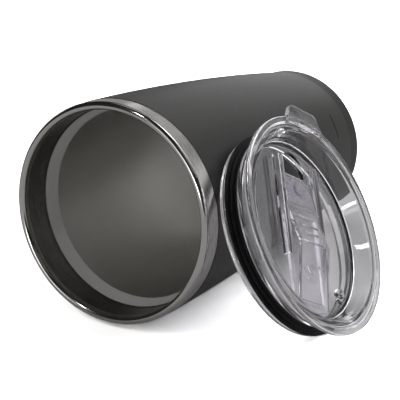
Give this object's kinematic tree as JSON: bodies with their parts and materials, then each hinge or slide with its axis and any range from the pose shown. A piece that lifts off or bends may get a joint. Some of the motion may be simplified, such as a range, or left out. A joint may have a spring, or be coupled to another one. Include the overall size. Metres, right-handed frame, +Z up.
{
  "type": "insulated tumbler",
  "caption": "Vacuum-insulated steel tumbler lying on its side, with its clear press-in lid and sliding closure off and leaning on it.",
  "frame": {"origin": "middle of the whole's box, on the floor", "axes": "+Z up, +Y along the tumbler's length towards its base, +X towards the lid lying beside it"},
  "size_m": [0.136, 0.165, 0.0907],
  "materials": {
    "powder_coat": "matte, finely textured",
    "outer_steel": "brushed round the band, polished on the lip",
    "inner_steel": "brushed round the axis",
    "copper": "bright copper",
    "base_steel": "plain rolled sheet",
    "sealing_glass": "fused",
    "getter_metal": "sintered, dull",
    "clear_plastic": "clear, polished",
    "slider_plastic": "clear, slightly cloudy",
    "black_silicone": "satin",
    "clear_silicone": "milky, translucent"
  },
  "bodies": {
    "tumbler": {"outer_shell": "outer_steel", "powder_coat": "powder_coat", "inner_liner": "inner_steel", "copper_layer": "copper", "closing_plate": "base_steel", "sealing_bead": "sealing_glass", "getter": "getter_metal", "base_cap": "base_steel"},
    "lid": {"lid_body": "clear_plastic", "lid_gasket": "black_silicone"},
    "closure": {"slider": "slider_plastic", "slider_seal": "clear_silicone"}
  },
  "joints": [
    {"name": "lid_lift", "type": "slide", "parent": "tumbler", "child": "lid", "axis": [0, 0, 1], "range_m": [0, 0.11]},
    {"name": "slider_slide", "type": "slide", "parent": "lid", "child": "closure", "axis": [-0.412, 0.5207, 0.7477], "range_m": [0, 0.0125]}
  ]
}
